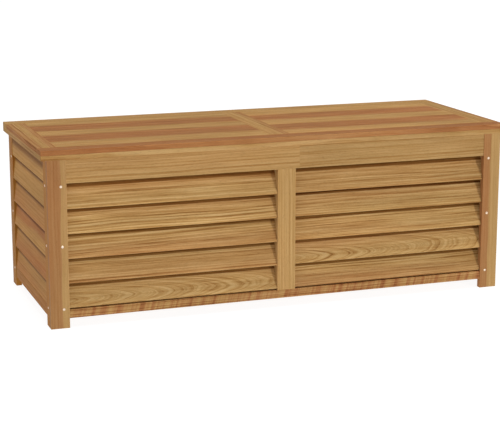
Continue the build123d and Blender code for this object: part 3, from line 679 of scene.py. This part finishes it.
# heartwood stretches across the lid's slats, from its front edge
LEFT_BAY_HEART = ((0.147, 0.267), (0.352, 0.460))
RIGHT_BAY_HEART = ((0.125, 0.243), (0.338, 0.447))
HEART_EDGE = 22 * MM
# heartwood stretches of the lid's cross rails and the softness of their edges, from the
# left edge of the left rail, and the right edges of the right rail and of the mullion
LEFT_END_HEART = ((-10 * MM, 19 * MM, 2 * MM), (42 * MM, 80 * MM, 5 * MM))
RIGHT_END_HEART = ((-14 * MM, 10 * MM, 3 * MM),)
MULLION_HEART = ((-22 * MM, 20 * MM, 10 * MM),)


def board_finish(name, board, tone, seed, edge=EASED_EDGE, flatten=False, **looks):
    """Make a board's own wood and put it on its node."""
    finish_node(name, wood(f"wood_{name}", board, tone, seed, **looks), edge, flatten=flatten)


def dress_walls():
    for wall, along in WALL_ALONG.items():
        long_wall = wall in ("front", "back")
        seed = 10.0 * (1 + list(WALL_ALONG).index(wall))

        name = f"{wall}_top_rail"
        looks = LONG_RAIL_LOOKS if long_wall else SIDE_RAIL_LOOKS
        joint = TOP_RAIL_SEAM if wall == "front" else None
        board_finish(name, flat_board(name, along, Z), 0.08, seed + 1, joint=joint, **looks)

        name = f"{wall}_bottom_rail"
        looks = LONG_SILL_LOOKS if long_wall else SIDE_SILL_LOOKS
        board_finish(name, flat_board(name, along, Z), 0.15, seed + 2, **looks)

        if long_wall:
            name = f"{wall}_centre_stile"
            board_finish(name, flat_board(name, Z, -along), 0.0, seed + 3, lines=0.6)
        else:
            name = f"{wall}_louvres"
            board_finish(
                name, lapped_group(name, wall), 0.0, seed + 5, lines=0.45, mottle=1.8,
                cloudy=0.12, shelter=SIDE_LAP_PAINTED_SHADE, row_tones=SIDE_TONES, tint=SIDE_SHADE_TINT,
            )
        if wall == "back":
            for side in ("left", "right"):
                name = f"back_{side}_louvres"
                board_finish(name, louvre_group(name, wall), 0.15, seed + 4, **LOUVRE_LOOKS)


def dress_front_louvres():
    rows = (
        ("left", LEFT_LOUVRE_TONES, LEFT_LOUVRE_HALF_SHIFT, 50.0),
        ("right", RIGHT_LOUVRE_TONES, RIGHT_LOUVRE_HALF_SHIFT, 70.0),
    )
    for side, tones, bleaches, seed in rows:
        for number, (tone, bleach) in enumerate(zip(tones, bleaches), start=1):
            name = f"front_{side}_louvre_{number}"
            arched = (side, number) in ARCHED_LOUVRES
            figure, lines = ("cathedral", 1.0) if arched else ("straight", 1.15)
            board_finish(
                name, front_louvre(name), tone, seed + number,
                figure=figure, lines=lines, bleach=bleach, **LOUVRE_LOOKS,
            )


def dress_posts():
    for wall in ("front", "back"):
        for side in ("left", "right"):
            name = f"{wall}_{side}_post_face"
            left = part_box(name)[0].x
            heart = (left - POST_HEART_OVERRUN, left + POST_HEART[side], POST_HEART_EDGE)
            seed = 91.0 + 7 * (wall == "back") + 3 * (side == "right")
            board_finish(
                name, flat_board(name, Z, -WALL_ALONG[wall]), 0.05, seed, flatten=True,
                lines=0.35, mottle=2.0, streaks=(heart,), streak_axis=X, streak_depth=0.8,
                brightness=(0.90, 0.90),
            )
            name = f"{wall}_{side}_post_side"
            board_finish(
                name, flat_board(name, Z, -WALL_ALONG[side]), 0.35, seed + 1, flatten=True,
                lines=0.5, tint=POST_SIDE_SHADE_TINT,
            )


def moved(stretches, start):
    """Streaks moved along their axis, each with its ends and its softness."""
    return [(start + low, start + high, soft) for low, high, soft in stretches]


def dress_lid():
    for name, tone, seed in (("lid_front_rail", 0.95, 201.0), ("lid_back_rail", 0.05, 204.0)):
        board_finish(name, flat_board(name, X, Y), tone, seed)
    crossing = (
        ("lid_left_end_rail", 0, LEFT_END_HEART, 207.0),
        ("lid_right_end_rail", 1, RIGHT_END_HEART, 209.0),
        ("lid_mullion", 1, MULLION_HEART, 211.0),
    )
    for name, corner, hearts, seed in crossing:
        board_finish(
            name, flat_board(name, Y, -X), 0.0, seed,
            streaks=moved(hearts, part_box(name)[corner].x), streak_axis=X, streak_depth=0.6,
            edge_tint=LID_EDGE_SHADE_TINT, brightness=(1.04, 1.04),
        )
    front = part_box("lid_front_rail")[0].y
    for side, hearts, seed in (("left", LEFT_BAY_HEART, 221.0), ("right", RIGHT_BAY_HEART, 231.0)):
        name = f"lid_{side}_slats"
        board_finish(
            name, slat_group(name, LID_SLATS, LID_SLAT_GAP), 0.0, seed, edge=EASED_EDGE / 2,
            cloudy=0.13, mottle=1.2, brightness=(1.09, 1.09),
            streaks=moved([(*ends, HEART_EDGE) for ends in hearts], front), streak_axis=Y,
        )
    for name, grain, across, seed in (
        ("lid_sub_front", X, Y, 241.0),
        ("lid_sub_back", X, Y, 243.0),
        ("lid_sub_centre", Y, -X, 245.0),
        ("lid_sub_left", Y, -X, 247.0),
        ("lid_sub_right", Y, -X, 249.0),
    ):
        board_finish(name, flat_board(name, grain, across), 0.0, seed)


def dress_inside():
    slats = slat_group("floor_slats", FLOOR_SLATS, FLOOR_SLAT_GAP)
    board_finish("floor_slats", slats, 0.15, 261.0)
    for name, grain, across, seed in (
        ("floor_bearers", Y, -X, 263.0),
        ("side_battens", Z, X, 265.0),
        ("corner_blocks", Z, X, 267.0),
    ):
        board_finish(name, flat_board(name, grain, across), 0.2, seed, edge=EASED_EDGE / 2)


# ----------------------------------------------------------------------- metals
# noise per metre along the scratches and across them
SCRATCH_SCALE = (90.0, 2600.0)
# a painted warm reflection of the nearby wood in the steel
WOOD_REFLECTION_TINT = (0.88, 0.70, 0.52)


def brushed_steel(name, along, rough, painted_reflection=0.0):
    """Stainless steel with fine scratches along one axis and faint tannin staining."""
    s = Shader(name)
    point = s.make("ShaderNodeTexCoord").outputs["Object"]
    lengthwise, crosswise = SCRATCH_SCALE
    stretch = tuple(lengthwise if axis == along else crosswise for axis in "xyz")
    scratches = s.noise(s.vector("MULTIPLY", point, stretch), detail=3.0, roughness=0.6)
    stain = s.noise(point, scale=60.0, detail=3.0)
    colour = s.colours(stain, (0.3, (0.64, 0.60, 0.55)), (0.7, (0.76, 0.73, 0.68)))
    # mixes in a painted reflection of the wood
    colour = s.mix(painted_reflection, colour, WOOD_REFLECTION_TINT)
    s.set(base_color=colour, metallic=1.0)
    s.set(roughness=s.math("MULTIPLY_ADD", scratches, 0.22, rough))
    s.bump(scratches, 0.00003)
    return s.material


def tube_paint():
    """Black baked enamel with a faint orange peel and a little dust."""
    s = Shader("strut_enamel")
    point = s.make("ShaderNodeTexCoord").outputs["Object"]
    peel = s.noise(point, scale=700.0, detail=2.0)
    dust = s.ramp(s.noise(point, scale=45.0, detail=4.0), 0.5, 0.75)
    colour = s.colours(dust, (0.0, (0.012, 0.012, 0.013)), (1.0, (0.035, 0.033, 0.030)))
    s.set(base_color=colour, ior=1.5, coat_weight=0.3)
    s.set(roughness=s.math("MULTIPLY_ADD", dust, 0.25, 0.28))
    s.bump(peel, 0.00002)
    return s.material


def chrome():
    """Ground and plated rod, with a breath of oil."""
    s = Shader("strut_chrome")
    point = s.make("ShaderNodeTexCoord").outputs["Object"]
    film = s.noise(point, scale=120.0, detail=3.0)
    colour = s.colours(film, (0.3, (0.76, 0.77, 0.78)), (0.7, (0.84, 0.84, 0.84)))
    s.set(base_color=colour, metallic=1.0)
    s.set(roughness=s.ramp(film, 0.3, 0.8, 0.06, 0.20))
    return s.material


def socket_radius(angle):
    """Distance from the middle to a hexagon's side, in units of its corner radius."""
    return cos(pi / 6) / cos((angle % (pi / 3)) - pi / 6)


def dome_screw(mesh, middle, outwards):
    """Turned dome head with a hexagon socket; outwards is the post face's normal."""
    sideways = Z.cross(outwards)
    rings = []
    for radius, height, shape in DOME_PROFILE:
        ring = []
        for i in range(DOME_SIDES):
            angle = 2 * pi * i / DOME_SIDES
            reach = radius * (socket_radius(angle) if shape == "hexagon" else 1.0)
            spot = sideways * (reach * cos(angle)) + Z * (reach * sin(angle)) + outwards * height
            ring.append(mesh.verts.new(middle + spot))
        rings.append(ring)
    for lower, upper in zip(rings, rings[1:]):
        for i in range(DOME_SIDES):
            j = (i + 1) % DOME_SIDES
            mesh.faces.new((lower[i], lower[j], upper[j], upper[i]))
    mesh.faces.new(rings[-1])
    mesh.faces.new(list(reversed(rings[0])))


def post_screws(material):
    """The screws of all four posts, in the places of the CAD ones."""
    left_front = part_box("front_left_post_face")[0]
    right_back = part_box("back_right_post_face")[1]
    mesh = bmesh.new()
    for height in SCREW_ROWS:
        for x, x_out in ((left_front.x, -X), (right_back.x, X)):
            for y, y_out in ((left_front.y, -Y), (right_back.y, Y)):
                face_spot = Vector((x - x_out.x * FACE_SCREW_IN, y, height))
                side_spot = Vector((x, y - y_out.y * SIDE_SCREW_IN, height))
                dome_screw(mesh, face_spot, y_out)
                dome_screw(mesh, side_spot, x_out)
    data = bpy.data.meshes.new("post_dome_screws")
    mesh.to_mesh(data)
    mesh.free()
    for polygon in data.polygons:
        polygon.use_smooth = True
    data.set_sharp_from_angle(angle=SHARP_ANGLE)
    screws = bpy.data.objects.new("post_dome_screws", data)
    bpy.context.scene.collection.objects.link(screws)
    data.materials.append(material)
    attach(screws, "box")
    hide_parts("post_screws")


def dress_metal():
    steel = brushed_steel("hinge_steel", "x", 0.22)
    for name in (
        "hinge_box_leaves", "hinge_lid_leaves", "strut_lid_brackets", "strut_box_brackets",
    ):
        finish_node(name, steel, METAL_EDGE)
    screws = brushed_steel("screw_steel", "z", 0.16)
    for name in ("hinge_pins", "box_hardware_screws", "lid_hardware_screws"):
        finish_node(name, screws, METAL_EDGE)
    # the post screws get a painted warm reflection of the wood
    post_screws(brushed_steel("post_screw_steel", "z", 0.26, painted_reflection=0.8))
    enamel, plated = tube_paint(), chrome()
    for side in ("left", "right"):
        finish_node(f"{side}_strut_tube", enamel, METAL_EDGE)
        finish_node(f"{side}_strut_rod", plated, METAL_EDGE)


# ------------------------------------------------------------- studio and camera
def sky():
    """A grey sky that turns white towards the horizon."""
    world = bpy.data.worlds.new("studio")
    bpy.context.scene.world = world
    world.use_nodes = True
    tree = world.node_tree
    background = tree.nodes["Background"]
    background.inputs["Color"].default_value = (*WHITE, 1.0)
    direction = tree.nodes.new("ShaderNodeTexCoord")
    split = tree.nodes.new("ShaderNodeSeparateXYZ")
    strength = tree.nodes.new("ShaderNodeMapRange")
    tree.links.new(direction.outputs["Generated"], split.inputs[0])
    tree.links.new(split.outputs["Z"], strength.inputs["Value"])
    tree.links.new(strength.outputs["Result"], background.inputs["Strength"])
    low, high = HORIZON
    for name, number in (
        ("From Min", low),
        ("From Max", high),
        ("To Min", 1.0),
        ("To Max", SKY),
    ):
        strength.inputs[name].default_value = number


def studio_floor():
    """A wide pale floor with a glow of its own."""
    bpy.ops.mesh.primitive_plane_add(size=FLOOR_SIZE)
    floor = bpy.context.object
    floor.name = "studio_floor"
    s = Shader("studio_floor")
    grey = (FLOOR_GREY, FLOOR_GREY, FLOOR_GREY, 1.0)
    s.set(base_color=grey, roughness=0.9, specular_ior_level=0.1)
    s.set(emission_color=(*WHITE, 1.0), emission_strength=FLOOR_GLOW)
    floor.data.materials.append(s.material)


def lamps():
    """Soft distant lamps: one low at the right of the front, one overhead, one at the left."""
    for name, energy, softness, turn, height in LAMPS:
        lamp_data = bpy.data.lights.new(name, "SUN")
        lamp_data.energy = energy
        lamp_data.angle = radians(softness)
        lamp = bpy.data.objects.new(name, lamp_data)
        bpy.context.scene.collection.objects.link(lamp)
        turn, height = radians(turn), radians(height)
        towards = Vector((sin(turn) * cos(height), -cos(turn) * cos(height), sin(height)))
        lamp.rotation_mode = "QUATERNION"
        lamp.rotation_quaternion = towards.to_track_quat("Z", "Y")


def camera():
    data = bpy.data.cameras.new("camera")
    data.sensor_width = SENSOR_WIDTH
    data.lens = LENS
    view = bpy.data.objects.new("camera", data)
    bpy.context.scene.collection.objects.link(view)
    view.location = CAMERA_AT
    yaw, pitch = CAMERA_YAW, CAMERA_PITCH
    look = Vector((sin(yaw) * cos(pitch), cos(yaw) * cos(pitch), -sin(pitch)))
    view.rotation_mode = "QUATERNION"
    view.rotation_quaternion = look.to_track_quat("-Z", "Y")
    bpy.context.scene.camera = view


dress_walls()
dress_front_louvres()
dress_posts()
dress_lid()
dress_inside()
dress_metal()
sky()
studio_floor()
lamps()
camera()
bpy.context.scene.view_settings.view_transform = "Standard"
